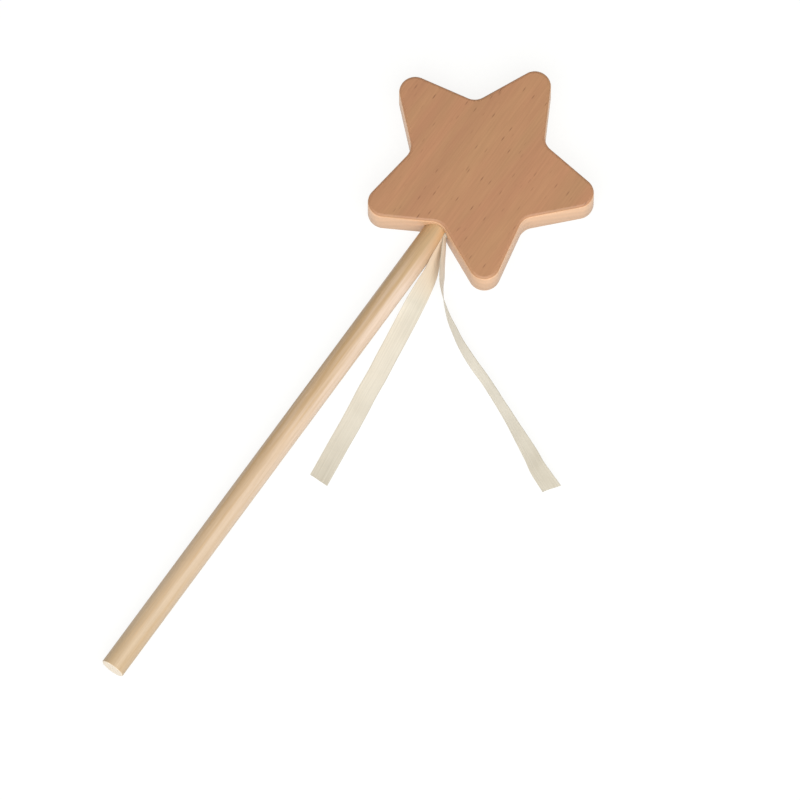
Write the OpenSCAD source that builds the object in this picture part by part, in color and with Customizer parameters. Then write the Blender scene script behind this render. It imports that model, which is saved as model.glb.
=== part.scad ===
// Toy magic wand: a rounded beech star on a dowel handle, with a satin ribbon.
// The ribbon is folded double, its fold is glued beside the dowel in the star's socket,
// and its two tails come out of the notch and lie on the table.
// The wand lies on the star's back. The origin is the middle of that face,
// +X runs along the handle towards the star's top point, and +Z is up.

/* [Star head] */
// Radius of the circle through the star's points before they are rounded
star_point_r = 55.5; // [53:0.5:58]
// Radius of the circle through the star's notches before they are rounded
star_notch_r = 28; // [26:0.5:30]
// Radius of each rounded point
point_round = 6.5; // [4:0.5:8]
// Radius of each rounded notch
notch_round = 6.5; // [4:0.5:8]
// Thickness of the board that the star is cut from
board_t = 16; // [14:0.5:20]
// Radius of the rounded-over edges of the board
edge_round = 1.25; // [0.5:0.25:3]
// Turn of the star on its handle, in degrees
star_turn = 2; // [0:0.5:4]

/* [Handle] */
// Diameter of the dowel
handle_d = 10; // [8:0.5:10.5]
// Length of the dowel, with its glued end
handle_l = 251; // [200:1:300]
// Chamfer of the rim at the free end
free_end_chamfer = 0.5; // [0.2:0.1:1.5]
// Chamfer of the end that goes into the socket
glued_end_chamfer = 1; // [0.2:0.1:1.5]

/* [Socket] */
// Depth of the socket from the floor of the notch
socket_depth = 25; // [18:1:40]
// Distance from each edge of the ribbon to the glue
glue_side_gap = 0.3; // [0.1:0.1:1]

/* [Ribbon] */
// Width of the ribbon
ribbon_w = 8.25; // [6:0.25:9]
// Thickness of one layer of ribbon
ribbon_t = 0.2; // [0.1:0.05:0.3]
// Room inside and outside the two layers in the socket
ribbon_play = 0.05; // [0.05:0.01:0.15]
// Depth of the ribbon's fold below the floor of the notch
fold_depth = 20; // [8:1:24]
// Place of the ribbon round the handle, in degrees from the top
ribbon_seat = 97; // [80:1:105]
// Distance over which a tail loses the curve of the handle
curl_run = 14; // [8:1:30]
// How far the right edge of the front tail is cut longer than its middle, seen along the tail
front_tail_bias = -0.5; // [-2:0.25:2]
// How far the right edge of the back tail is cut longer than its middle, seen along the tail
back_tail_bias = 1.5; // [-2:0.25:2]

/* [Hidden] */
$fn = 96;

beech = "#bc8c66";
dowel_wood = "#dec29e";
dried_glue = "#e6d9ae";
cream_satin = "#ebe4d2";

points = 5;
point_step = 360 / points;
// Steps along a point's arc, a notch's arc and the quarter round of an edge
point_steps = 12;
notch_steps = 5;
rim_steps = 4;
// One overrun serves all cuts
overrun = 1;

// The star's outline: half angles at a point and at a notch, and the arcs that round them
half_step = point_step / 2;
point_half = atan2(star_notch_r * sin(half_step), star_point_r - star_notch_r * cos(half_step));
notch_half = point_half + half_step;
point_arc_r = star_point_r - point_round / sin(point_half);
notch_arc_r = star_notch_r + notch_round / sin(notch_half);

// The socket runs in from the notch opposite the top point
handle_r = handle_d / 2;
axis_z = board_t / 2;
fold_r = handle_r + ribbon_play;
socket_r = fold_r + 2 * ribbon_t + ribbon_play;
notch_floor = notch_arc_r - notch_round;
socket_floor = notch_floor - socket_depth;
mouth = star_notch_r + socket_r / tan(notch_half);
ribbon_span = ribbon_w / (fold_r + ribbon_t) * 180 / PI;
glue_gap_span = glue_side_gap / handle_r * 180 / PI;

// Routes of the two tails after the mouth: [x, y, z, lean of the width in degrees]
front_route = [
  [-35.2, -6.2, 7.1, 78], [-39.7, -6.9, 6.75, 66], [-43.6, -7.65, 5.9, 56], [-47.6, -8.4, 5.2, 46],
  [-51.6, -8.9, 4.5, 37], [-55.6, -9.4, 3.6, 28], [-59.5, -9.8, 2.6, 20], [-63.5, -10.3, 1.6, 12],
  [-67.5, -10.8, 0.9, 6], [-75.4, -11.9, 0.4, 2], [-83.5, -13, 0.3, 0], [-91.4, -14.2, 0.3, 0],
  [-99.4, -15.1, 0.3, 0], [-107.3, -16.3, 0.3, 0], [-115.3, -17.4, 0.3, 0], [-123.3, -18.3, 0.3, 0],
  [-131.3, -19.3, 0.3, 0], [-141, -20.5, 0.3, 0]
];
back_route = [
  [-33.5, -7, 7.6, 90], [-37.4, -9.2, 7.2, 90], [-41.6, -11.4, 6.5, 93], [-45.4, -13.4, 5.7, 96],
  [-48.4, -15.7, 4.9, 97], [-51.3, -18.5, 4.4, 98], [-54, -21.7, 4.3, 99], [-56.5, -25, 4.2, 100],
  [-59, -29.1, 4.2, 102], [-62, -34.2, 4.2, 104], [-64.5, -39.5, 4.2, 106], [-66.9, -45.4, 4.1, 107],
  [-69, -51.2, 4.1, 107], [-71.5, -57.1, 4.1, 108], [-74, -62.7, 4.1, 109], [-76.4, -68.1, 4, 112],
  [-79.1, -73.8, 3.8, 117], [-84.1, -84.4, 3.3, 130], [-87.1, -90, 3, 137], [-90.7, -99.2, 2.5, 145]
];
route_steps = 2;
strip_cells = 6;
least_curl_share = 0.01;

// Points of an arc round a centre, from one direction to another
function arc(centre, r, from, to, steps) = [
  for (i = [0 : steps])
    let (at = from + (to - from) * i / steps)
    centre + r * [cos(at), sin(at)]
];

function polar(r, at) = r * [cos(at), sin(at)];

// The star's outline, drawn in by an inset: an arc at each point and a hollow arc at each notch
function star_outline(inset) = [
  for (i = [0 : points - 1])
    let (
      at = i * point_step + star_turn,
      notch_at = at + half_step,
      point_turn = 90 - point_half,
      notch_turn = 90 - notch_half
    )
    each concat(
      arc(polar(point_arc_r, at), point_round - inset, at - point_turn, at + point_turn, point_steps),
      arc(polar(notch_arc_r, notch_at), notch_round + inset,
          notch_at + 180 + notch_turn, notch_at + 180 - notch_turn, notch_steps)
    )
];

// Skin of the board: the outline at each level, drawn in along a quarter round at both edges.
// The flat faces are fans from their middle, because the outline is hollow at each notch.
module star_board() {
  turns = [for (i = [0 : rim_steps]) 90 * i / rim_steps];
  lower = [for (turn = turns) edge_round * [1 - sin(turn), 1 - cos(turn)]];
  upper = [for (i = [rim_steps : -1 : 0]) [lower[i][0], board_t - lower[i][1]]];
  rings = [for (level = concat(lower, upper)) [for (p = star_outline(level[0])) [p[0], p[1], level[1]]]];
  sides = len(rings[0]);
  last = len(rings) - 1;
  walls = [
    for (i = [0 : last - 1])
      for (j = [0 : sides - 1])
        let (a = i * sides + j, b = i * sides + (j + 1) % sides)
        each [[a, b + sides, b], [a, a + sides, b + sides]]
  ];
  back_middle = len(rings) * sides;
  front_middle = back_middle + 1;
  flats = [
    for (j = [0 : sides - 1])
      let (next = (j + 1) % sides)
      each [[back_middle, j, next], [front_middle, last * sides + next, last * sides + j]]
  ];
  middles = [[0, 0, 0], [0, 0, board_t]];
  polyhedron(concat([for (ring = rings) each ring], middles), concat(walls, flats));
}

// Puts a shape made on +Z along the handle, from a distance behind the star's middle
module along_handle(from) {
  translate([-from, 0, axis_z]) rotate([0, -90, 0]) children();
}

// Part of a sleeve round the handle, over a span in degrees from a start place.
// Places round the handle are counted from the top down the ribbon's side, which is -Y.
module handle_sleeve(inner_r, outer_r, length, start, span) {
  rotate(-start - span)
    rotate_extrude(angle = span) translate([inner_r, 0]) square([outer_r - inner_r, length]);
}

module star_head() {
  color(beech) difference() {
    star_board();
    along_handle(socket_floor) cylinder(r = socket_r, h = mouth - socket_floor + overrun);
  }
}

module handle_dowel() {
  outline = [
    [0, 0], [handle_r - glued_end_chamfer, 0], [handle_r, glued_end_chamfer],
    [handle_r, handle_l - free_end_chamfer], [handle_r - free_end_chamfer, handle_l], [0, handle_l]
  ];
  color(dowel_wood) along_handle(socket_floor) rotate_extrude() polygon(outline);
}

// Cured glue fills the socket round the dowel flush with the star's side, except where the ribbon passes
module socket_glue() {
  start = ribbon_seat + ribbon_span / 2 + glue_gap_span;
  span = 360 - ribbon_span - 2 * glue_gap_span;
  color(dried_glue) intersection() {
    star_board();
    along_handle(socket_floor)
      handle_sleeve(handle_r, socket_r, mouth - socket_floor + overrun, start, span);
  }
}

// The ribbon's middle, folded double and pressed against the dowel, out to the mouth of the socket
module ribbon_fold() {
  length = mouth - notch_floor + fold_depth;
  start = ribbon_seat - ribbon_span / 2;
  color(cream_satin) along_handle(notch_floor - fold_depth)
    handle_sleeve(fold_r, fold_r + 2 * ribbon_t, length, start, ribbon_span);
}

// Point of a smooth curve between the second and the third of four points
function between(a, b, c, d, s) =
  b + s / 2 * (c - a + s * (2 * a - 5 * b + 4 * c - d + s * (3 * (b - c) + d - a)));

function smooth_route(route) = [
  for (i = [0 : len(route) - 2])
    for (j = [0 : route_steps - 1])
      between(route[max(i - 1, 0)], route[i], route[i + 1], route[min(i + 2, len(route) - 1)], j / route_steps),
  route[len(route) - 1]
];

function place(station) = [station[0], station[1], station[2]];
function unit(v) = v / norm(v);

// One ring of a tail: the strip's section, curved round the handle at the mouth and flat further on
function strip_ring(station, ahead, layer_r, bias) =
  let (
    side = unit([ahead[1], -ahead[0], 0]),
    up = cross(side, ahead),
    across = side * cos(station[3]) + up * sin(station[3]),
    out = cross(across, ahead),
    curl_share = max(least_curl_share, 1 - (-mouth - station[0]) / curl_run),
    bend_r = layer_r / curl_share,
    half_turn = ribbon_w / 2 / bend_r * 180 / PI
  )
  [
    for (face = [1, -1])
      for (k = [0 : strip_cells])
        let (
          turn = face * (2 * k / strip_cells - 1) * half_turn,
          reach = bend_r + face * ribbon_t / 2
        )
        place(station) + across * reach * sin(turn) + out * (reach * cos(turn) - bend_r)
          + ahead * bias * turn / half_turn
  ];

module ribbon_tail(route, layer_r, bias) {
  start = [-mouth, -layer_r * sin(ribbon_seat), axis_z + layer_r * cos(ribbon_seat), ribbon_seat];
  stations = smooth_route(concat([start], route));
  last = len(stations) - 1;
  rings = [
    for (i = [0 : last])
      let (ahead = unit(place(stations[min(i + 1, last)]) - place(stations[max(i - 1, 0)])))
      strip_ring(stations[i], i == 0 ? [-1, 0, 0] : ahead, layer_r, i == last ? bias : 0)
  ];
  sides = 2 * strip_cells + 2;
  walls = [
    for (i = [0 : last - 1])
      for (j = [0 : sides - 1])
        let (a = i * sides + j, b = i * sides + (j + 1) % sides)
        each [[a, b, b + sides], [a, b + sides, a + sides]]
  ];
  ends = [
    for (k = [0 : strip_cells - 1])
      let (near = [k, k + 1, sides - 2 - k, sides - 1 - k], far = near + last * sides * [1, 1, 1, 1])
      each [
        [near[0], near[2], near[1]], [near[0], near[3], near[2]],
        [far[0], far[1], far[2]], [far[0], far[2], far[3]]
      ]
  ];
  polyhedron([for (ring = rings) each ring], concat(walls, ends));
}

module ribbon_front_tail() {
  color(cream_satin) ribbon_tail(front_route, fold_r + ribbon_t / 2, front_tail_bias);
}

module ribbon_back_tail() {
  color(cream_satin) ribbon_tail(back_route, fold_r + ribbon_t * 3 / 2, back_tail_bias);
}

star_head();
handle_dowel();
socket_glue();
ribbon_fold();
ribbon_front_tail();
ribbon_back_tail();
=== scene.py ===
# Toy magic wand: a rounded beech star on a dowel handle, with a satin ribbon folded into the joint
import math

import bmesh
import bpy
from bpy.props import FloatProperty, FloatVectorProperty, IntProperty, PointerProperty
from mathutils import Matrix, Vector


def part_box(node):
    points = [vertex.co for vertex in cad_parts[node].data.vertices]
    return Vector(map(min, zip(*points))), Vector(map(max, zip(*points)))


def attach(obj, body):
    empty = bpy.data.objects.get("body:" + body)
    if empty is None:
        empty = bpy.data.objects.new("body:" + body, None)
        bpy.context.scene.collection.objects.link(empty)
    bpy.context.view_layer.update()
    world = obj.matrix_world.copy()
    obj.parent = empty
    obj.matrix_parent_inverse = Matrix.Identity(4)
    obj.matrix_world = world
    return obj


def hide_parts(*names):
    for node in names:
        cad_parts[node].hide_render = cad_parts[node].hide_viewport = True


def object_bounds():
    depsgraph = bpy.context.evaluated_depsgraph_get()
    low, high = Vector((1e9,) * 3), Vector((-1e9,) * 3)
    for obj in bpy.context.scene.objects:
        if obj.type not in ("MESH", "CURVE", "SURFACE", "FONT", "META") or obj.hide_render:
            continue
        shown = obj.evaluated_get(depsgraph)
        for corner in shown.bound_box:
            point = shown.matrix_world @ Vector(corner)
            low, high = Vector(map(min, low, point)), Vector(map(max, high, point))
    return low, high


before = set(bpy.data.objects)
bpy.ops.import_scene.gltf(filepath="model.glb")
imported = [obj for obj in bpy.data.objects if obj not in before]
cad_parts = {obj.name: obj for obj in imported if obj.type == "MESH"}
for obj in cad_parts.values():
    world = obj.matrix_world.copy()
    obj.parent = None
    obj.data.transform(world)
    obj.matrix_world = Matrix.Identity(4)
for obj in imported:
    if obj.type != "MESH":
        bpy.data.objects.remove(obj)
CAD_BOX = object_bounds()

bl_info = {
    "name": "Toy magic wand",
    "version": (1, 0, 0),
    "blender": (4, 5, 0),
    "location": "3D View > Sidebar > Wand",
    "description": "Dresses a wooden star wand with a ribbon, and sets a plain studio round it",
    "category": "Object",
}

BODY = "root"
MM = 0.001

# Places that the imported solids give
STAR_LOW, STAR_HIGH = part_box("star_head")
DOWEL_LOW, DOWEL_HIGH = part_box("handle_dowel")
FOLD_LOW, FOLD_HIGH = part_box("ribbon_fold")
DOWEL_R = (DOWEL_HIGH.z - DOWEL_LOW.z) / 2
AXIS_Z = (DOWEL_HIGH.z + DOWEL_LOW.z) / 2
MOUTH_X = FOLD_LOW.x
FLOOR_Z = CAD_BOX[0].z

POINTS = 5
POINT_STEP = math.tau / POINTS

# Routes of the two tails after the mouth: x, y and z in metres, and the lean of the width in degrees
FRONT_ROUTE = (
    (-0.0352, -0.0062, 0.0071, 78), (-0.0397, -0.0069, 0.00675, 66), (-0.0436, -0.00765, 0.0059, 56),
    (-0.0476, -0.0084, 0.0052, 46), (-0.0516, -0.0089, 0.0045, 37), (-0.0556, -0.0094, 0.0036, 28),
    (-0.0595, -0.0098, 0.0026, 20), (-0.0635, -0.0103, 0.0016, 12), (-0.0675, -0.0108, 0.0009, 6),
    (-0.0754, -0.0119, 0.0004, 2), (-0.0835, -0.0130, 0.0003, 0), (-0.0914, -0.0142, 0.0003, 0),
    (-0.0994, -0.0151, 0.0003, 0), (-0.1073, -0.0163, 0.0003, 0), (-0.1153, -0.0174, 0.0003, 0),
    (-0.1233, -0.0183, 0.0003, 0), (-0.1313, -0.0193, 0.0003, 0), (-0.1410, -0.0205, 0.0003, 0),
)
BACK_ROUTE = (
    (-0.0335, -0.0070, 0.0076, 86), (-0.0374, -0.0092, 0.0072, 80), (-0.0416, -0.0114, 0.0065, 77),
    (-0.0454, -0.0134, 0.0057, 78), (-0.0484, -0.0157, 0.0049, 82), (-0.0513, -0.0185, 0.0044, 87),
    (-0.0540, -0.0217, 0.0043, 92), (-0.0565, -0.0250, 0.0042, 96), (-0.0590, -0.0291, 0.0042, 100),
    (-0.0620, -0.0342, 0.0042, 103), (-0.0645, -0.0395, 0.0042, 106), (-0.0669, -0.0454, 0.0041, 107),
    (-0.0690, -0.0512, 0.0041, 107), (-0.0715, -0.0571, 0.0041, 108), (-0.0740, -0.0627, 0.0041, 109),
    (-0.0764, -0.0681, 0.0040, 112), (-0.0791, -0.0738, 0.0038, 117), (-0.0841, -0.0844, 0.0033, 130),
    (-0.0871, -0.0900, 0.0030, 137), (-0.0907, -0.0992, 0.0025, 145),
)

# How finely the shapes are cut
POINT_ARC_STEPS = 28
NOTCH_ARC_STEPS = 14
EDGE_ROUND_STEPS = 6
ROD_SIDES = 96
FREE_ROUND_STEPS = 4
CHAMFER_STEPS = 1
ROUTE_STEPS = 5
FOLD_STEPS = 8
FOLD_TURN_STEPS = 6

# Angles between faces: at a square rim, and where the shading of wood and of cloth gets a hard line
RIM_ANGLE = math.radians(80)
WOOD_CREASE = math.radians(35)
CLOTH_CREASE = math.radians(50)
# A face is flat where its normal lies this far along an axis, and a rim lies this near to an end
FLAT_NORMAL = 0.999
RIM_REACH = 0.1 * MM
# A tail keeps a trace of curl, so that its bend still has a radius
LEAST_CURL = 0.01

# The stage, in metres: half the floor's width, its gap under the wand, and the key light
FLOOR_HALF = 12
FLOOR_GAP = 0.05 * MM
KEY_DISTANCE = 1.4
KEY_WIDTH, KEY_DEPTH = 2.0, 1.4

# Sockets of a Mix node that mixes colours
MIX_SHARE, MIX_A, MIX_B, MIX_OUT = 0, 6, 7, 2
# Distance between the rings of a Wave node at a scale of 1
WAVE_STEP = math.pi / 10


def linear(colour):
    """Linear RGB of an sRGB hex colour."""
    levels = [int(colour[i:i + 2], 16) / 255 for i in (1, 3, 5)]
    return tuple(x / 12.92 if x <= 0.04045 else ((x + 0.055) / 1.055) ** 2.4 for x in levels)


def length_property(name, description, default):
    """A size that a user may change."""
    return FloatProperty(name=name, description=description, default=default, min=0, precision=5,
                         unit="LENGTH")


def place_property(name, description, default):
    """A place or an offset that a user may change, and that may be below zero."""
    return FloatProperty(name=name, description=description, default=default, precision=5, unit="LENGTH")


def angle_property(name, description, degrees):
    """An angle that a user may change."""
    return FloatProperty(name=name, description=description, default=math.radians(degrees),
                         unit="ROTATION")


def colour_property(name, description, colour):
    """A colour that a user may change."""
    return FloatVectorProperty(name=name, description=description, default=linear(colour), size=3,
                               min=0, max=1, subtype="COLOR")


def light_property(name, description, default):
    """The strength of a light that a user may change."""
    return FloatProperty(name=name, description=description, default=default, min=0)


class StarSettings(bpy.types.PropertyGroup):
    """Sizes and colours of the star"""
    point_r: length_property("Point radius", "Circle through the points before they are rounded", 0.0555)
    notch_r: length_property("Notch radius", "Circle through the notches before they are rounded", 0.028)
    point_round: length_property("Point round", "Radius of each rounded point", 0.0065)
    notch_round: length_property("Notch round", "Radius of each rounded notch", 0.0065)
    edge_round: length_property("Edge round", "Radius of the rounded-over edges", 0.00125)
    socket_r: length_property("Socket radius", "Radius of the drilled socket", 0.0055)
    turn: angle_property("Turn", "Turn of the star on its handle", 2)
    wood: colour_property("Wood", "Main colour of the beech", "#b0835d")
    rosy: colour_property("Rosy bands", "Colour of the warmer bands in the beech", "#b17f5c")
    side: colour_property("Sides", "Colour of the sanded sides, where little oil has sunk in", "#d4aa85")
    fleck: colour_property("Flecks", "Colour of the short rays that show as flecks", "#7b5237")


class HandleSettings(bpy.types.PropertyGroup):
    """Sizes and colours of the handle, and the colour of its glue"""
    free_round: length_property("Free end round", "Softened rim of the free end", 0.0005)
    glued_chamfer: length_property("Glued end chamfer", "Chamfer of the end in the socket", 0.001)
    wood: colour_property("Wood", "Main colour of the dowel", "#dcc6b2")
    free_end: colour_property("Free end", "Colour that the dowel darkens to at its free end", "#b9a180")
    end_grain: colour_property("End grain", "Colour of the sawn free end", "#e6d8c3")
    # Painted shade and painted warm reflection from the star, for the dowel just below it
    mouth_shade: colour_property("Soaked end", "Colour of the dowel where the star's oil has sunk in", "#c39a6c")
    # The streak colour also gives the dowel's darker side, which is painted shade
    streak: colour_property("Streaks", "Colour of the dowel's streaks and heartwood", "#b99a72")
    glue: colour_property("Glue", "Colour of the cured glue in the socket", "#c79f78")


class RibbonSettings(bpy.types.PropertyGroup):
    """Sizes and colours of the ribbon"""
    width: length_property("Width", "Width of the ribbon", 0.00825)
    thickness: length_property("Thickness", "Thickness of one layer", 0.0002)
    play: length_property("Play", "Room between the handle and the inner layer", 0.00005)
    curl_run: length_property("Curl run", "Distance over which a tail loses the handle's curve", 0.014)
    front_bias: place_property("Front tail bias", "How far its right edge is cut longer", -0.0005)
    back_bias: place_property("Back tail bias", "How far its right edge is cut longer", 0.0015)
    seat: angle_property("Seat", "Place of the ribbon round the handle, from the top", 97)
    satin: colour_property("Satin", "Main colour of the ribbon", "#dfd8c8")
    shade: colour_property("Satin shade", "Colour between the threads and along the edges", "#b8b09e")
    # Painted shade and painted warm reflection from the wood, for the ribbon by the mouth
    warm_shade: colour_property("Glued satin", "Colour of the ribbon where glue has soaked into it", "#e3c4a4")
    cells: IntProperty(name="Cells across", description="Faces across the ribbon", default=10, min=2)


class StageSettings(bpy.types.PropertyGroup):
    """Camera, floor and lights"""
    elevation: angle_property("Elevation", "Height of the camera above the floor, as an angle", 72.47)
    azimuth: angle_property("Azimuth", "Turn of the camera round the wand", -54.84)
    view_width: length_property("View width", "Width of floor that the picture shows", 0.321)
    target_x: place_property("Target X", "Middle of the picture along X", -0.09455)
    target_y: place_property("Target Y", "Middle of the picture along Y", -0.02765)
    lens: FloatProperty(name="Lens", description="Long lens that keeps the handle's sides parallel",
                        default=1000, unit="CAMERA")
    floor: colour_property("Floor", "Colour of the floor", "#f9f9f8")
    glow: light_property("Floor glow", "Light that comes up through the floor, as in a light table", 0.91)
    room: light_property("Room light", "Strength of the even light all round", 0.3)
    key: light_property("Key light", "Power of the large soft light in front of the wand, in watts", 31)
    key_height: angle_property("Key height", "Height of the key light above the floor, as an angle", 58)
    key_turn: angle_property("Key turn", "Turn of the key light round the wand", -50)


def add_node(tree, kind, inputs=None, **settings):
    """A new node with its settings, whose inputs take values or other nodes' outputs."""
    node = tree.nodes.new(kind)
    for name, value in settings.items():
        setattr(node, name, value)
    for name, value in (inputs or {}).items():
        socket = node.inputs[name]
        if isinstance(value, bpy.types.NodeSocket):
            tree.links.new(value, socket)
        else:
            socket.default_value = value
    return node


def new_material(name):
    """An empty node material and its output."""
    material = bpy.data.materials.new(name)
    material.use_nodes = True
    tree = material.node_tree
    tree.nodes.clear()
    return material, tree, tree.nodes.new("ShaderNodeOutputMaterial")


def opaque(colour):
    """A colour with its alpha."""
    return (*colour, 1)


# In the materials below, the first number of a Mapping's scale draws a pattern out along the grain or threads


def oiled_beech(settings):
    """Sanded and oiled beech: warm brown with faint growth bands and short dark flecks along the grain."""
    material, tree, output = new_material("oiled_beech")
    band, ring, grain, cell = 9 * MM, 5 * MM, 0.7 * MM, 1.4 * MM
    heart_aside, heart_below = 12 * MM, 70 * MM
    place = add_node(tree, "ShaderNodeTexCoord").outputs["Object"]
    long = add_node(tree, "ShaderNodeMapping", {"Vector": place, "Scale": (0.16, 1, 1)}).outputs[0]
    bands = add_node(tree, "ShaderNodeTexNoise", {
        "Vector": long, "Scale": 1 / band, "Detail": 2}).outputs[0]
    base = add_node(tree, "ShaderNodeMix", {
        MIX_SHARE: add_node(tree, "ShaderNodeMapRange", {
            "Value": bands, "From Min": 0.36, "From Max": 0.64}).outputs[0],
        MIX_A: opaque(settings.wood), MIX_B: opaque(settings.rosy)}, data_type="RGBA").outputs[MIX_OUT]
    # The heart of the tree lay 70 mm below the board, so the growth rings cut its face as long bands
    heart = add_node(tree, "ShaderNodeMapping", {
        "Vector": place, "Location": (0, heart_aside, heart_below), "Scale": (0.12, 1, 1)}).outputs[0]
    rings = add_node(tree, "ShaderNodeTexWave", {
        "Vector": heart, "Scale": WAVE_STEP / ring, "Distortion": 3.5, "Detail": 2, "Detail Scale": 0.6},
        wave_type="RINGS", rings_direction="X").outputs["Fac"]
    fine = add_node(tree, "ShaderNodeMapping", {"Vector": place, "Scale": (0.05, 1, 1)}).outputs[0]
    lines = add_node(tree, "ShaderNodeTexNoise", {
        "Vector": fine, "Scale": 1 / grain, "Detail": 3}).outputs[0]
    tone = add_node(tree, "ShaderNodeMath", {
        0: add_node(tree, "ShaderNodeMapRange", {
            "Value": rings, "To Min": 0.95, "To Max": 1.02}).outputs[0],
        1: add_node(tree, "ShaderNodeMapRange", {
            "Value": lines, "From Min": 0.3, "From Max": 0.7, "To Min": 0.95, "To Max": 1.05}).outputs[0]},
        operation="MULTIPLY").outputs[0]
    toned = add_node(tree, "ShaderNodeVectorMath", {0: base, 1: tone}, operation="MULTIPLY").outputs[0]
    # Rays show as broken flecks about 0.5 mm wide and 2.5 mm long, where a cell's middle lies in the face
    stretched = add_node(tree, "ShaderNodeMapping", {"Vector": place, "Scale": (0.18, 1, 1)}).outputs[0]
    cells = add_node(tree, "ShaderNodeTexVoronoi", {"Vector": stretched, "Scale": 1 / cell})
    near = add_node(tree, "ShaderNodeMapRange", {
        "Value": cells.outputs["Distance"], "From Min": 0.05, "From Max": 0.2,
        "To Min": 1, "To Max": 0}).outputs[0]
    chosen = add_node(tree, "ShaderNodeSeparateColor", {"Color": cells.outputs["Color"]}).outputs[0]
    some = add_node(tree, "ShaderNodeMapRange", {
        "Value": chosen, "From Min": 0.05, "From Max": 0.6}).outputs[0]
    whole = add_node(tree, "ShaderNodeMath", {0: near, 1: some}, operation="MULTIPLY").outputs[0]
    broken = add_node(tree, "ShaderNodeMapRange", {
        "Value": lines, "From Min": 0.6, "From Max": 0.4, "To Min": 0.2}).outputs[0]
    flecks = add_node(tree, "ShaderNodeMath", {0: whole, 1: broken}, operation="MULTIPLY").outputs[0]
    flecked = add_node(tree, "ShaderNodeMix", {
        MIX_SHARE: flecks, MIX_A: toned, MIX_B: opaque(settings.fleck)}, data_type="RGBA").outputs[MIX_OUT]
    # The sides begin half way round the rounded-over edges
    slope = add_node(tree, "ShaderNodeMath", {
        0: add_node(tree, "ShaderNodeSeparateXYZ", {
            0: add_node(tree, "ShaderNodeTexCoord").outputs["Normal"]}).outputs["Z"]},
        operation="ABSOLUTE").outputs[0]
    steep = add_node(tree, "ShaderNodeMapRange", {
        "Value": slope, "From Min": 0.65, "From Max": 0.4}).outputs[0]
    # Painted shade: the sides are darker towards the floor and paler towards the top edge
    painted_shade = add_node(tree, "ShaderNodeMapRange", {
        "Value": add_node(tree, "ShaderNodeSeparateXYZ", {0: place}).outputs["Z"],
        "From Min": STAR_LOW.z, "From Max": STAR_HIGH.z, "To Min": 0.76, "To Max": 1.14}).outputs[0]
    side = add_node(tree, "ShaderNodeVectorMath", {
        0: settings.side, 1: tone}, operation="MULTIPLY").outputs[0]
    shaded_side = add_node(tree, "ShaderNodeVectorMath", {0: side, 1: painted_shade}, operation="MULTIPLY").outputs[0]
    colour = add_node(tree, "ShaderNodeMix", {
        MIX_SHARE: steep, MIX_A: flecked, MIX_B: shaded_side}, data_type="RGBA").outputs[MIX_OUT]
    height = add_node(tree, "ShaderNodeMath", {0: lines, 1: flecks}, operation="SUBTRACT").outputs[0]
    bump = add_node(tree, "ShaderNodeBump", {
        "Strength": 0.25, "Distance": 0.05 * MM, "Height": height}).outputs[0]
    rough = add_node(tree, "ShaderNodeMapRange", {
        "Value": lines, "To Min": 0.38, "To Max": 0.54}).outputs[0]
    shader = add_node(tree, "ShaderNodeBsdfPrincipled", {
        "Base Color": colour, "Roughness": rough, "IOR": 1.5, "Normal": bump})
    tree.links.new(shader.outputs[0], output.inputs["Surface"])
    return material


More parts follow.
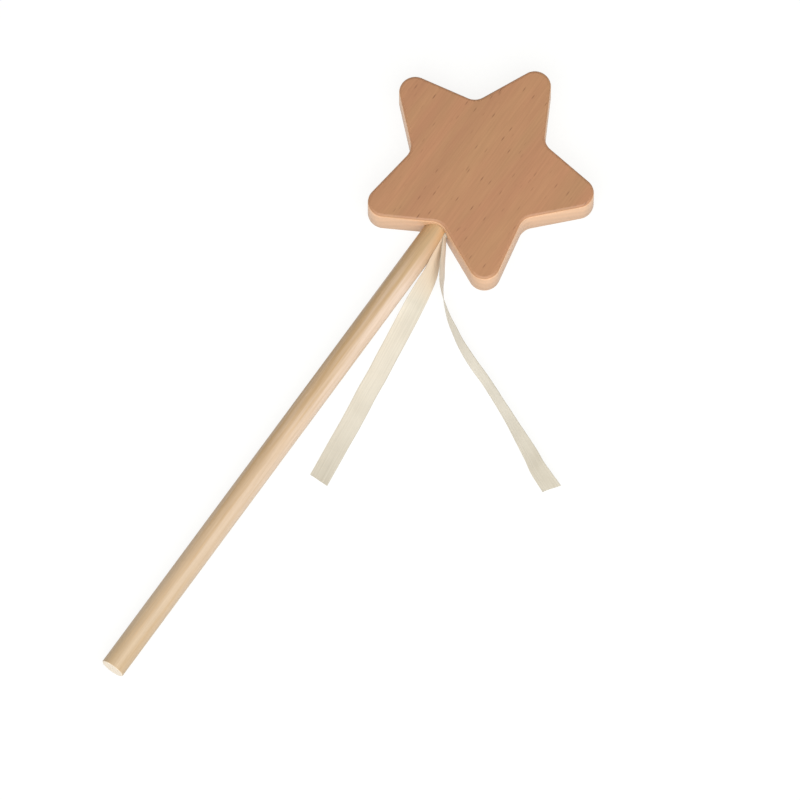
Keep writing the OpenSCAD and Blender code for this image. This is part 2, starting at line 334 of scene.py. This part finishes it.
def pale_dowel(settings):
    """Turned and sanded pale hardwood: straight streaks along the handle, a side darkened by painted shade,
    and a soft sheen.
    """
    material, tree, output = new_material("pale_dowel")
    streak, grain = 2.2 * MM, 0.5 * MM
    palest_x, mouth_shade_from_x = MOUTH_X - 40 * MM, MOUTH_X - 28 * MM
    shade_low_x, shade_full_x = DOWEL_LOW.x + 20 * MM, DOWEL_LOW.x + 90 * MM
    shade_low_y, shade_full_y = -2.8 * MM, -0.4 * MM
    place = add_node(tree, "ShaderNodeTexCoord").outputs["Object"]
    long = add_node(tree, "ShaderNodeMapping", {"Vector": place, "Scale": (0.035, 1, 1)}).outputs[0]
    streaks = add_node(tree, "ShaderNodeTexNoise", {
        "Vector": long, "Scale": 1 / streak, "Detail": 3, "Roughness": 0.6}).outputs[0]
    lines = add_node(tree, "ShaderNodeTexNoise", {
        "Vector": long, "Scale": 1 / grain, "Detail": 2}).outputs[0]
    # The dowel pales towards the star; just below the star, painted shade and painted warm reflection darken
    # it again
    spot = add_node(tree, "ShaderNodeSeparateXYZ", {0: place})
    distance = spot.outputs["X"]
    paled = add_node(tree, "ShaderNodeMix", {
        MIX_SHARE: add_node(tree, "ShaderNodeMapRange", {
            "Value": distance, "From Min": DOWEL_LOW.x, "From Max": palest_x}).outputs[0],
        MIX_A: opaque(settings.free_end), MIX_B: opaque(settings.wood)}, data_type="RGBA").outputs[MIX_OUT]
    wood = add_node(tree, "ShaderNodeMix", {
        MIX_SHARE: add_node(tree, "ShaderNodeMapRange", {
            "Value": distance, "From Min": mouth_shade_from_x, "From Max": MOUTH_X}).outputs[0],
        MIX_A: paled, MIX_B: opaque(settings.mouth_shade)}, data_type="RGBA").outputs[MIX_OUT]
    # Painted shade: the side away from the key light is darker, fading out towards the free end
    heart = add_node(tree, "ShaderNodeMath", {
        0: add_node(tree, "ShaderNodeMapRange", {
            "Value": spot.outputs["Y"], "From Min": shade_low_y, "From Max": shade_full_y,
            "To Max": 0.62}).outputs[0],
        1: add_node(tree, "ShaderNodeMapRange", {
            "Value": distance, "From Min": shade_low_x, "From Max": shade_full_x}).outputs[0]},
        operation="MULTIPLY").outputs[0]
    streaky = add_node(tree, "ShaderNodeMapRange", {
        "Value": streaks, "From Min": 0.42, "From Max": 0.8, "To Max": 0.8}).outputs[0]
    base = add_node(tree, "ShaderNodeMix", {
        MIX_SHARE: add_node(tree, "ShaderNodeMath", {0: streaky, 1: heart}, operation="ADD").outputs[0],
        MIX_A: wood, MIX_B: opaque(settings.streak)}, data_type="RGBA").outputs[MIX_OUT]
    # The sawn end is paler than the turned sides
    facing = add_node(tree, "ShaderNodeSeparateXYZ", {
        0: add_node(tree, "ShaderNodeTexCoord").outputs["Normal"]}).outputs["X"]
    ended = add_node(tree, "ShaderNodeMix", {
        MIX_SHARE: add_node(tree, "ShaderNodeMapRange", {
            "Value": facing, "From Min": -0.6, "From Max": -0.9}).outputs[0],
        MIX_A: base, MIX_B: opaque(settings.end_grain)}, data_type="RGBA").outputs[MIX_OUT]
    tone = add_node(tree, "ShaderNodeMapRange", {
        "Value": lines, "From Min": 0.3, "From Max": 0.7, "To Min": 0.94, "To Max": 1.05}).outputs[0]
    colour = add_node(tree, "ShaderNodeVectorMath", {0: ended, 1: tone}, operation="MULTIPLY").outputs[0]
    bump = add_node(tree, "ShaderNodeBump", {
        "Strength": 0.2, "Distance": 0.04 * MM, "Height": lines}).outputs[0]
    rough = add_node(tree, "ShaderNodeMapRange", {
        "Value": lines, "To Min": 0.36, "To Max": 0.5}).outputs[0]
    shader = add_node(tree, "ShaderNodeBsdfPrincipled", {
        "Base Color": colour, "Roughness": rough, "IOR": 1.5, "Normal": bump})
    tree.links.new(shader.outputs[0], output.inputs["Surface"])
    return material


def cured_glue(settings):
    """Cured wood glue: a yellowish, half clear film with a soft gloss and small dimples."""
    material, tree, output = new_material("cured_glue")
    dimple = 0.8 * MM
    place = add_node(tree, "ShaderNodeTexCoord").outputs["Object"]
    dimples = add_node(tree, "ShaderNodeTexNoise", {"Vector": place, "Scale": 1 / dimple}).outputs[0]
    tone = add_node(tree, "ShaderNodeMapRange", {
        "Value": dimples, "To Min": 0.85, "To Max": 1.1}).outputs[0]
    colour = add_node(tree, "ShaderNodeVectorMath", {
        0: settings.glue, 1: tone}, operation="MULTIPLY").outputs[0]
    bump = add_node(tree, "ShaderNodeBump", {"Distance": 0.1 * MM, "Height": dimples}).outputs[0]
    shader = add_node(tree, "ShaderNodeBsdfPrincipled", {
        "Base Color": colour, "Roughness": 0.3, "IOR": 1.47, "Subsurface Weight": 0.1,
        "Subsurface Radius": (MM, MM, MM), "Normal": bump})
    tree.links.new(shader.outputs[0], output.inputs["Surface"])
    return material


def cream_satin(settings):
    """Woven satin ribbon: threads along its length give a streaky sheen, and its woven edges are denser."""
    material, tree, output = new_material("cream_satin")
    # Real threads are about 0.1 mm apart, and are drawn 0.5 mm apart so that they show
    thread, cloud = 0.5 * MM, 12 * MM
    half_width, woven_edge = settings.width / 2, 0.7 * MM
    grey_from, grey_full = 70 * MM, 110 * MM
    slope_shade_middle, slope_shade_reach = 28 * MM, 16 * MM
    mouth_shade_reach, mouth_shade_full = 28 * MM, 6 * MM
    cloth = add_node(tree, "ShaderNodeAttribute", attribute_name="weave").outputs["Vector"]
    spot = add_node(tree, "ShaderNodeSeparateXYZ", {0: cloth})
    travelled, aside, front_shading = spot.outputs["X"], spot.outputs["Y"], spot.outputs["Z"]
    along = add_node(tree, "ShaderNodeMapping", {"Vector": cloth, "Scale": (0.02, 1, 1)}).outputs[0]
    threads = add_node(tree, "ShaderNodeTexNoise", {
        "Vector": along, "Scale": 1 / thread, "Detail": 2}).outputs[0]
    clouds = add_node(tree, "ShaderNodeTexNoise", {
        "Vector": cloth, "Scale": 1 / cloud, "Detail": 1}).outputs[0]
    streaky = add_node(tree, "ShaderNodeMath", {
        0: add_node(tree, "ShaderNodeMapRange", {
            "Value": threads, "From Min": 0.3, "From Max": 0.75, "To Max": 0.35}).outputs[0],
        1: add_node(tree, "ShaderNodeMapRange", {
            "Value": clouds, "From Min": 0.35, "From Max": 0.7, "To Max": 0.2}).outputs[0]},
        operation="ADD").outputs[0]
    # Tails darken towards their ends; painted shade dulls the front tail's slope, which faces the key light
    greyed = add_node(tree, "ShaderNodeMapRange", {
        "Value": travelled, "From Min": grey_from, "From Max": grey_full, "To Max": 0.55}).outputs[0]
    past_slope_shade = add_node(tree, "ShaderNodeMath", {
        0: travelled, 1: slope_shade_middle}, operation="SUBTRACT").outputs[0]
    from_slope_shade = add_node(tree, "ShaderNodeMath", {0: past_slope_shade}, operation="ABSOLUTE").outputs[0]
    slope_shade = add_node(tree, "ShaderNodeMath", {
        0: add_node(tree, "ShaderNodeMapRange", {
            "Value": from_slope_shade, "From Min": slope_shade_reach, "From Max": 0, "To Max": 0.5}).outputs[0],
        1: front_shading}, operation="MULTIPLY").outputs[0]
    painted_shade = add_node(tree, "ShaderNodeMath", {0: greyed, 1: slope_shade}, operation="ADD").outputs[0]
    dull = add_node(tree, "ShaderNodeMath", {0: streaky, 1: painted_shade}, operation="ADD").outputs[0]
    edge = add_node(tree, "ShaderNodeMapRange", {
        "Value": add_node(tree, "ShaderNodeMath", {0: aside}, operation="ABSOLUTE").outputs[0],
        "From Min": half_width - woven_edge, "From Max": half_width, "To Max": 0.8}).outputs[0]
    shade = add_node(tree, "ShaderNodeMath", {0: dull, 1: edge}, operation="MAXIMUM").outputs[0]
    cloth_colour = add_node(tree, "ShaderNodeMix", {
        MIX_SHARE: shade, MIX_A: opaque(settings.satin), MIX_B: opaque(settings.shade)},
        data_type="RGBA").outputs[MIX_OUT]
    # Painted shade and painted warm reflection from the wood tint the first 28 mm, most of all on the front
    # tail, which lies on the handle
    mouth_shade = add_node(tree, "ShaderNodeMath", {
        0: add_node(tree, "ShaderNodeMapRange", {
            "Value": travelled, "From Min": mouth_shade_reach, "From Max": mouth_shade_full, "To Max": 0.7}).outputs[0],
        1: add_node(tree, "ShaderNodeMapRange", {"Value": front_shading, "To Min": 0.1}).outputs[0]},
        operation="MULTIPLY").outputs[0]
    colour = add_node(tree, "ShaderNodeMix", {
        MIX_SHARE: mouth_shade, MIX_A: cloth_colour, MIX_B: opaque(settings.warm_shade)}, data_type="RGBA").outputs[MIX_OUT]
    bump = add_node(tree, "ShaderNodeBump", {
        "Strength": 0.3, "Distance": 0.05 * MM, "Height": threads}).outputs[0]
    rough = add_node(tree, "ShaderNodeMapRange", {
        "Value": threads, "To Min": 0.48, "To Max": 0.68}).outputs[0]
    shader = add_node(tree, "ShaderNodeBsdfPrincipled", {
        "Base Color": colour, "Roughness": rough, "IOR": 1.5, "Sheen Weight": 0.05, "Sheen Roughness": 0.4,
        "Normal": bump})
    tree.links.new(shader.outputs[0], output.inputs["Surface"])
    return material


def opal_table(settings):
    """White opal sheet lit from below: a pale ground that scatters little light and shows faint shadows."""
    material, tree, output = new_material("opal_table")
    tooth = 2 * MM
    place = add_node(tree, "ShaderNodeTexCoord").outputs["Object"]
    specks = add_node(tree, "ShaderNodeTexNoise", {"Vector": place, "Scale": 1 / tooth}).outputs[0]
    tone = add_node(tree, "ShaderNodeMapRange", {
        "Value": specks, "To Min": 0.14, "To Max": 0.16}).outputs[0]
    colour = add_node(tree, "ShaderNodeVectorMath", {
        0: settings.floor, 1: tone}, operation="MULTIPLY").outputs[0]
    shader = add_node(tree, "ShaderNodeBsdfPrincipled", {
        "Base Color": colour, "Roughness": 0.9, "Specular IOR Level": 0.1,
        "Emission Color": opaque(settings.floor), "Emission Strength": settings.glow})
    tree.links.new(shader.outputs[0], output.inputs["Surface"])
    return material


def new_object(name, bm):
    """An object in the scene that holds a finished bmesh."""
    mesh = bpy.data.meshes.new(name)
    bm.to_mesh(mesh)
    bm.free()
    piece = bpy.data.objects.new(name, mesh)
    bpy.context.scene.collection.objects.link(piece)
    return piece


def dress(piece, material, node):
    """Gives a piece its material, its body and the solid that it stands for."""
    piece.data.materials.append(material)
    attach(piece, BODY)
    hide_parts(node)
    return piece


def smooth_faces(bm, crease, flat=()):
    """Shades all faces smoothly but the flat ones, with hard lines where faces meet at a larger angle."""
    for face in bm.faces:
        face.smooth = face not in flat
    for edge in bm.edges:
        edge.smooth = edge.calc_face_angle(0) < crease


def round_edges(bm, edges, size, steps):
    """Rounds edges over in steps. A single step is a plain chamfer."""
    bmesh.ops.bevel(bm, geom=edges, offset=size, offset_type="OFFSET", segments=steps,
                    profile=0.5, affect="EDGES", material=-1)


def add_rod(bm, low_x, high_x, radius):
    """A closed round rod on the handle's axis."""
    middle = Matrix.Translation(((low_x + high_x) / 2, 0, AXIS_Z))
    bmesh.ops.create_cone(
        bm, cap_ends=True, segments=ROD_SIDES, radius1=radius, radius2=radius, depth=high_x - low_x,
        matrix=middle @ Matrix.Rotation(math.pi / 2, 4, "Y"))


def only_verts(geom):
    """The vertices in what a bmesh operator gives back."""
    return [item for item in geom if isinstance(item, bmesh.types.BMVert)]


def aim(thing, stage, turn, height, distance):
    """Puts a camera or a light round the middle of the picture, and points it there."""
    away = Vector((math.sin(turn) * math.cos(height), -math.cos(turn) * math.cos(height), math.sin(height)))
    thing.location = Vector((stage.target_x, stage.target_y, FLOOR_Z)) + away * distance
    thing.rotation_mode = "QUATERNION"
    thing.rotation_quaternion = (-away).to_track_quat("-Z", "Y")
    bpy.context.scene.collection.objects.link(thing)


def between(a, b, c, d, share):
    """Point of a smooth curve between the second and the third of four points."""
    return b + share / 2 * (c - a + share * (2 * a - 5 * b + 4 * c - d + share * (3 * (b - c) + d - a)))


def smooth_route(route):
    """Stations along a smooth curve through the points of a route."""
    last = len(route) - 1
    stations = [
        between(route[max(i - 1, 0)], route[i], route[i + 1], route[min(i + 2, last)], j / ROUTE_STEPS)
        for i in range(last) for j in range(ROUTE_STEPS)
    ]
    return stations + [route[last]]


def lay_ribbon(name, rows, settings, front_shading=0):
    """Lays a flat ribbon along rows, each with its place, way across, way out, radius of bend and cut.

    The weave attribute keeps the distance along the ribbon and across it, for the threads, and whether
    this stretch is the front tail, which takes more painted shade.
    """
    bm = bmesh.new()
    bmesh.ops.create_grid(bm, x_segments=len(rows) - 1, y_segments=settings.cells, size=1)
    weave = bm.verts.layers.float_vector.new("weave")
    travelled = [0]
    for a, b in zip(rows, rows[1:]):
        travelled.append(travelled[-1] + (b["place"] - a["place"]).length)
    for vert in bm.verts:
        number = round((vert.co.x + 1) / 2 * (len(rows) - 1))
        row, share = rows[number], vert.co.y
        distance = share * settings.width / 2
        vert[weave] = (travelled[number], distance, front_shading)
        turn = distance / row["bend_r"]
        vert.co = (row["place"] + row["across"] * row["bend_r"] * math.sin(turn)
                   + row["out"] * row["bend_r"] * (math.cos(turn) - 1) + row["cut"] * share)
    bmesh.ops.recalc_face_normals(bm, faces=bm.faces)
    if bm.faces[:][0].normal.dot(rows[0]["out"]) < 0:
        bmesh.ops.reverse_faces(bm, faces=bm.faces)
    bmesh.ops.solidify(bm, geom=bm.faces[:], thickness=-settings.thickness)
    bmesh.ops.recalc_face_normals(bm, faces=bm.faces)
    smooth_faces(bm, CLOTH_CREASE)
    return new_object(name, bm)


def layer_radius(settings, layer):
    """Radius of the inside of the first or the second layer round the handle."""
    return DOWEL_R + settings.play + layer * settings.thickness


def tail_rows(route, settings, layer, bias):
    """Rows of a tail: curved round the handle at the mouth, and flat further on."""
    layer_r = layer_radius(settings, layer)
    seat = settings.seat
    start = Vector((MOUTH_X, -layer_r * math.sin(seat), AXIS_Z + layer_r * math.cos(seat),
                    math.degrees(seat)))
    stations = smooth_route([start, *(Vector(point) for point in route)])
    last = len(stations) - 1
    rows = []
    for i, station in enumerate(stations):
        ahead = (stations[min(i + 1, last)].xyz - stations[max(i - 1, 0)].xyz).normalized()
        if i == 0:
            ahead = Vector((-1, 0, 0))
        side = Vector((ahead.y, -ahead.x, 0)).normalized()
        lean = math.radians(station.w)
        across = side * math.cos(lean) + side.cross(ahead) * math.sin(lean)
        curl = max(LEAST_CURL, 1 - (MOUTH_X - station.x) / settings.curl_run)
        rows.append({
            "place": station.xyz, "across": across, "out": across.cross(ahead),
            "bend_r": layer_r / curl, "cut": ahead * (bias if i == last else 0)})
    return rows


def fold_rows(settings):
    """Rows of the ribbon's middle: in along the handle on the inner layer and out on the outer one."""
    inner, outer = layer_radius(settings, 0), layer_radius(settings, 1)
    turn_r = (outer - inner) / 2
    deepest = FOLD_HIGH.x - settings.thickness - turn_r
    reach = deepest - MOUTH_X
    out = Vector((0, -math.sin(settings.seat), math.cos(settings.seat)))
    across = Vector((0, math.cos(settings.seat), math.sin(settings.seat)))
    way = [(MOUTH_X + reach * i / FOLD_STEPS, inner) for i in range(FOLD_STEPS)]
    for i in range(FOLD_TURN_STEPS + 1):
        angle = math.pi * i / FOLD_TURN_STEPS
        way.append((deepest + turn_r * math.sin(angle), inner + turn_r * (1 - math.cos(angle))))
    way += [(MOUTH_X + reach * i / FOLD_STEPS, outer) for i in reversed(range(FOLD_STEPS))]
    return [{"place": Vector((x, 0, AXIS_Z)) + out * r, "across": across, "out": out, "bend_r": r,
             "cut": Vector()} for x, r in way]


class WAND_OT_view(bpy.types.Operator):
    """Set the camera at the photograph's angle"""
    bl_idname = "wand.view"
    bl_label = "Set the camera"

    def execute(self, context):
        stage = context.scene.wand_stage
        data = bpy.data.cameras.new("camera")
        data.lens = stage.lens
        distance = stage.view_width * stage.lens / data.sensor_width
        data.clip_end = 3 * distance
        camera = bpy.data.objects.new("camera", data)
        aim(camera, stage, stage.azimuth, stage.elevation, distance)
        context.scene.camera = camera
        return {"FINISHED"}


class WAND_OT_ribbon(bpy.types.Operator):
    """Lay the ribbon: its folded middle in the socket and its two loose tails"""
    bl_idname = "wand.ribbon"
    bl_label = "Lay the ribbon"

    def execute(self, context):
        settings = context.scene.wand_ribbon
        satin = cream_satin(settings)
        # The last number marks the front tail, which takes painted shade on its slope and more of it by the
        # mouth
        tails = (
            ("ribbon_front_tail", FRONT_ROUTE, 0, settings.front_bias, 1),
            ("ribbon_back_tail", BACK_ROUTE, 1, settings.back_bias, 0),
        )
        for name, route, layer, bias, front_shading in tails:
            rows = tail_rows(route, settings, layer, bias)
            tail = dress(lay_ribbon(name + "_satin", rows, settings, front_shading), satin, name)
        fold = lay_ribbon("ribbon_fold_satin", fold_rows(settings), settings)
        dress(fold, satin, "ribbon_fold")
        return {"FINISHED"}


class WAND_OT_star(bpy.types.Operator):
    """Cut the star from its board, round its edges and drill its socket"""
    bl_idname = "wand.star"
    bl_label = "Make the star"

    def execute(self, context):
        settings = context.scene.wand_star
        bm = bmesh.new()
        self.draw_outline(bm, settings)
        raised = bmesh.ops.extrude_face_region(bm, geom=bm.faces[:])["geom"]
        bmesh.ops.translate(bm, verts=only_verts(raised), vec=(0, 0, STAR_HIGH.z - STAR_LOW.z))
        bmesh.ops.recalc_face_normals(bm, faces=bm.faces)
        rims = [edge for edge in bm.edges if edge.calc_face_angle(0) > RIM_ANGLE]
        round_edges(bm, rims, settings.edge_round, EDGE_ROUND_STEPS)
        star = new_object("star_head_wood", bm)
        self.drill(star, settings)
        dress(star, oiled_beech(settings), "star_head")
        return {"FINISHED"}

    def draw_outline(self, bm, settings):
        """Draws an arc at each point and a hollow arc at each notch, and fills the outline."""
        half_step = POINT_STEP / 2
        point_half = math.atan2(settings.notch_r * math.sin(half_step),
                                settings.point_r - settings.notch_r * math.cos(half_step))
        notch_half = point_half + half_step
        point_arc_r = settings.point_r - settings.point_round / math.sin(point_half)
        notch_arc_r = settings.notch_r + settings.notch_round / math.sin(notch_half)
        quarter = math.pi / 2
        arcs = []
        for i in range(POINTS):
            at = i * POINT_STEP + settings.turn
            arcs.append((point_arc_r, at, settings.point_round, at - quarter + point_half,
                         2 * (quarter - point_half), POINT_ARC_STEPS))
            at += half_step
            arcs.append((notch_arc_r, at, settings.notch_round, at + math.pi + quarter - notch_half,
                         2 * (notch_half - quarter), NOTCH_ARC_STEPS))
        ends = []
        for centre_r, at, round_r, start, angle, steps in arcs:
            centre = Vector((math.cos(at), math.sin(at), 0)) * centre_r + Vector((0, 0, STAR_LOW.z))
            first = bm.verts.new(centre + Vector((math.cos(start), math.sin(start), 0)) * round_r)
            spun = bmesh.ops.spin(bm, geom=[first], cent=centre, axis=(0, 0, 1), angle=angle, steps=steps)
            ends.append((first, only_verts(spun["geom_last"])[0]))
        for (_, last), (first, _) in zip(ends, ends[1:] + ends[:1]):
            bm.edges.new((last, first))
        bmesh.ops.contextual_create(bm, geom=bm.edges[:])

    def drill(self, star, settings):
        """Cuts the socket into the star, from the floor of the socket out through the notch."""
        bm = bmesh.new()
        add_rod(bm, MOUTH_X - settings.edge_round, DOWEL_HIGH.x, settings.socket_r)
        drill = new_object("drill", bm)
        cut = star.modifiers.new("socket", "BOOLEAN")
        cut.object = drill
        cut.operation = "DIFFERENCE"
        cut.solver = "EXACT"
        drilled = bpy.data.meshes.new_from_object(star.evaluated_get(bpy.context.evaluated_depsgraph_get()))
        star.modifiers.clear()
        star.data = drilled
        bpy.data.objects.remove(drill)
        bm = bmesh.new()
        bm.from_mesh(drilled)
        flat = {face for face in bm.faces if abs(face.normal.z) > FLAT_NORMAL and len(face.verts) > 4}
        smooth_faces(bm, WOOD_CREASE, flat)
        bm.to_mesh(drilled)
        bm.free()


class WAND_OT_handle(bpy.types.Operator):
    """Turn the dowel and soften its ends"""
    bl_idname = "wand.handle"
    bl_label = "Make the handle"

    def execute(self, context):
        settings = context.scene.wand_handle
        bm = bmesh.new()
        add_rod(bm, DOWEL_LOW.x, DOWEL_HIGH.x, DOWEL_R)
        ends = (
            (DOWEL_LOW.x, settings.free_round, FREE_ROUND_STEPS),
            (DOWEL_HIGH.x, settings.glued_chamfer, CHAMFER_STEPS),
        )
        for end_x, size, steps in ends:
            rim = [e for e in bm.edges if all(abs(v.co.x - end_x) < RIM_REACH for v in e.verts)]
            round_edges(bm, rim, size, steps)
        flat = {face for face in bm.faces if abs(face.normal.x) > FLAT_NORMAL}
        smooth_faces(bm, WOOD_CREASE, flat)
        dress(new_object("handle_dowel_wood", bm), pale_dowel(settings), "handle_dowel")
        return {"FINISHED"}


class WAND_OT_glue(bpy.types.Operator):
    """Give the cured glue in the socket its finish"""
    bl_idname = "wand.glue"
    bl_label = "Finish the glue"

    def execute(self, context):
        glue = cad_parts["socket_glue"]
        glue.data.materials.clear()
        glue.data.materials.append(cured_glue(context.scene.wand_handle))
        return {"FINISHED"}


class WAND_OT_stage(bpy.types.Operator):
    """Lay a pale floor and light it softly from the front"""
    bl_idname = "wand.stage"
    bl_label = "Set the stage"

    def execute(self, context):
        stage = context.scene.wand_stage
        bm = bmesh.new()
        bmesh.ops.create_grid(bm, x_segments=1, y_segments=1, size=FLOOR_HALF,
                              matrix=Matrix.Translation((0, 0, FLOOR_Z - FLOOR_GAP)))
        floor = new_object("floor", bm)
        floor.data.materials.append(opal_table(stage))
        self.light_room(context.scene, stage)
        self.light_key(stage)
        context.scene.view_settings.view_transform = "Standard"
        return {"FINISHED"}

    def light_room(self, scene, stage):
        """Even white light from all round."""
        world = bpy.data.worlds.new("room")
        world.use_nodes = True
        background = world.node_tree.nodes["Background"]
        background.inputs["Color"].default_value = (1, 1, 1, 1)
        background.inputs["Strength"].default_value = stage.room
        scene.world = world

    def light_key(self, stage):
        """A large soft light in front of the wand."""
        data = bpy.data.lights.new("key", "AREA")
        data.shape = "RECTANGLE"
        data.size, data.size_y = KEY_WIDTH, KEY_DEPTH
        data.energy = stage.key
        key = bpy.data.objects.new("key", data)
        key.visible_camera = False
        aim(key, stage, stage.key_turn, stage.key_height, KEY_DISTANCE)


class WAND_PT_sidebar(bpy.types.Panel):
    """Steps and sizes of the wand"""
    bl_idname = "WAND_PT_sidebar"
    bl_label = "Toy magic wand"
    bl_space_type = "VIEW_3D"
    bl_region_type = "UI"
    bl_category = "Wand"

    def draw(self, context):
        for operator in STEPS:
            self.layout.operator(operator.bl_idname)
        for name, group in GROUPS.items():
            box = self.layout.box()
            for key in group.__annotations__:
                box.prop(getattr(context.scene, name), key)


GROUPS = {
    "wand_star": StarSettings,
    "wand_handle": HandleSettings,
    "wand_ribbon": RibbonSettings,
    "wand_stage": StageSettings,
}
# The camera and the ribbon come first
STEPS = (WAND_OT_view, WAND_OT_ribbon, WAND_OT_star, WAND_OT_handle, WAND_OT_glue, WAND_OT_stage)
CLASSES = (*GROUPS.values(), *STEPS, WAND_PT_sidebar)


def register():
    """Adds the classes and the scene's settings."""
    for cls in CLASSES:
        bpy.utils.register_class(cls)
    for name, group in GROUPS.items():
        setattr(bpy.types.Scene, name, PointerProperty(type=group))


def unregister():
    """Takes the scene's settings and the classes away again."""
    for name in GROUPS:
        delattr(bpy.types.Scene, name)
    for cls in reversed(CLASSES):
        bpy.utils.unregister_class(cls)


def main():
    """Makes the wand and its stage."""
    register()
    bpy.ops.wand.view()
    bpy.ops.wand.ribbon()
    bpy.ops.wand.star()
    bpy.ops.wand.handle()
    bpy.ops.wand.glue()
    bpy.ops.wand.stage()


if __name__ == "__main__":
    main()
